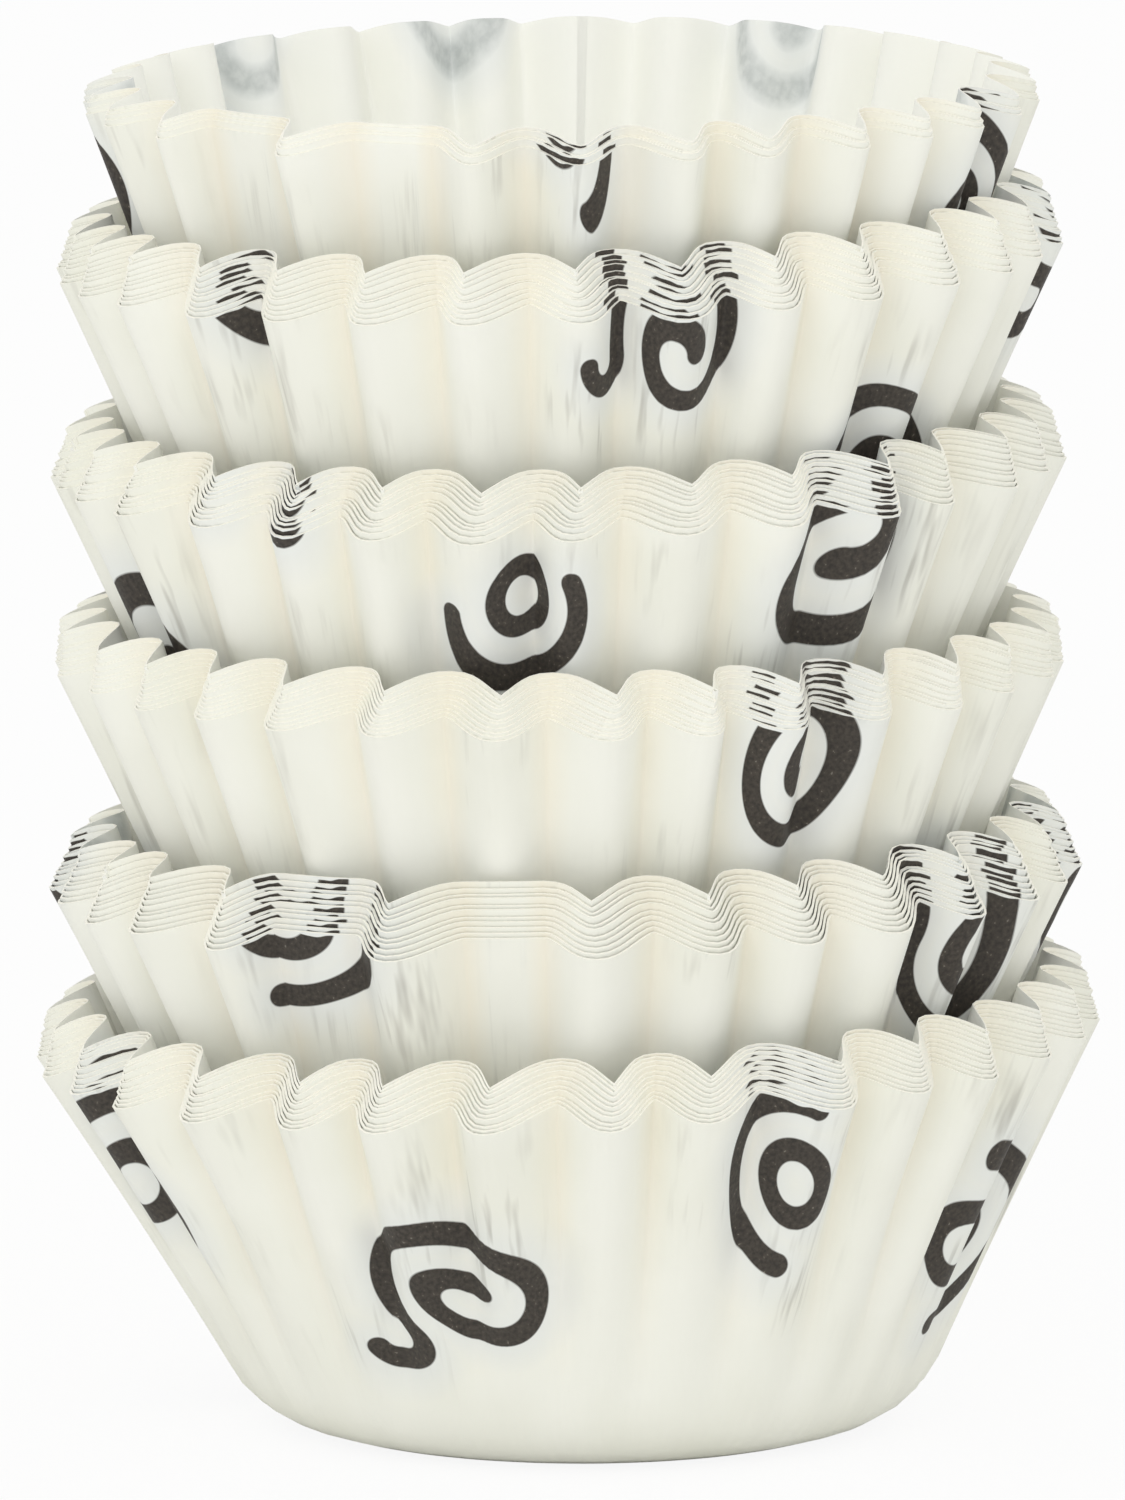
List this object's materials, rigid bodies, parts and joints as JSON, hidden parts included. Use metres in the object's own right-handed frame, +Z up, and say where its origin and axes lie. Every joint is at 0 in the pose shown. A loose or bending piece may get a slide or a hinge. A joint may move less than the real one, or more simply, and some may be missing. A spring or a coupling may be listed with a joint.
{
  "type": "stack of cupcake liners",
  "caption": "Stack of pleated paper cupcake liners wedged in one another in small nests, white greaseproof paper with a loose dark curl print.",
  "frame": {"origin": "middle of the stack's box, on the surface that the lowest liner stands on", "axes": "+Z up the stack towards the open cup, +X to the right and -Y to the front"},
  "size_m": [0.0825, 0.0827, 0.1048],
  "materials": {
    "printed_paper": "matt greaseproof paper with dark printed curls"
  },
  "bodies": {
    "root": {"bottom_nest_liner_01": "printed_paper", "bottom_nest_liner_02": "printed_paper", "bottom_nest_liner_03": "printed_paper", "bottom_nest_liner_04": "printed_paper", "bottom_nest_liner_05": "printed_paper", "bottom_nest_liner_06": "printed_paper", "bottom_nest_liner_07": "printed_paper", "bottom_nest_liner_08": "printed_paper", "bottom_nest_liner_09": "printed_paper", "bottom_nest_liner_10": "printed_paper", "bottom_nest_liner_11": "printed_paper", "second_nest_liner_01": "printed_paper", "second_nest_liner_02": "printed_paper", "second_nest_liner_03": "printed_paper", "second_nest_liner_04": "printed_paper", "second_nest_liner_05": "printed_paper", "second_nest_liner_06": "printed_paper", "second_nest_liner_07": "printed_paper", "second_nest_liner_08": "printed_paper", "second_nest_liner_09": "printed_paper", "second_nest_liner_10": "printed_paper", "second_nest_liner_11": "printed_paper", "third_nest_liner_01": "printed_paper", "third_nest_liner_02": "printed_paper", "third_nest_liner_03": "printed_paper", "third_nest_liner_04": "printed_paper", "third_nest_liner_05": "printed_paper", "third_nest_liner_06": "printed_paper", "third_nest_liner_07": "printed_paper", "third_nest_liner_08": "printed_paper", "third_nest_liner_09": "printed_paper", "third_nest_liner_10": "printed_paper", "third_nest_liner_11": "printed_paper", "fourth_nest_liner_01": "printed_paper", "fourth_nest_liner_02": "printed_paper", "fourth_nest_liner_03": "printed_paper", "fourth_nest_liner_04": "printed_paper", "fourth_nest_liner_05": "printed_paper", "fourth_nest_liner_06": "printed_paper", "fourth_nest_liner_07": "printed_paper", "fourth_nest_liner_08": "printed_paper", "fourth_nest_liner_09": "printed_paper", "fourth_nest_liner_10": "printed_paper", "fourth_nest_liner_11": "printed_paper", "fifth_nest_liner_01": "printed_paper", "fifth_nest_liner_02": "printed_paper", "fifth_nest_liner_03": "printed_paper", "fifth_nest_liner_04": "printed_paper", "fifth_nest_liner_05": "printed_paper", "fifth_nest_liner_06": "printed_paper", "fifth_nest_liner_07": "printed_paper", "fifth_nest_liner_08": "printed_paper", "fifth_nest_liner_09": "printed_paper", "fifth_nest_liner_10": "printed_paper", "fifth_nest_liner_11": "printed_paper", "top_nest_liner_01": "printed_paper", "top_nest_liner_02": "printed_paper", "top_nest_liner_03": "printed_paper", "top_nest_liner_04": "printed_paper", "top_nest_liner_05": "printed_paper"}
  },
  "joints": []
}
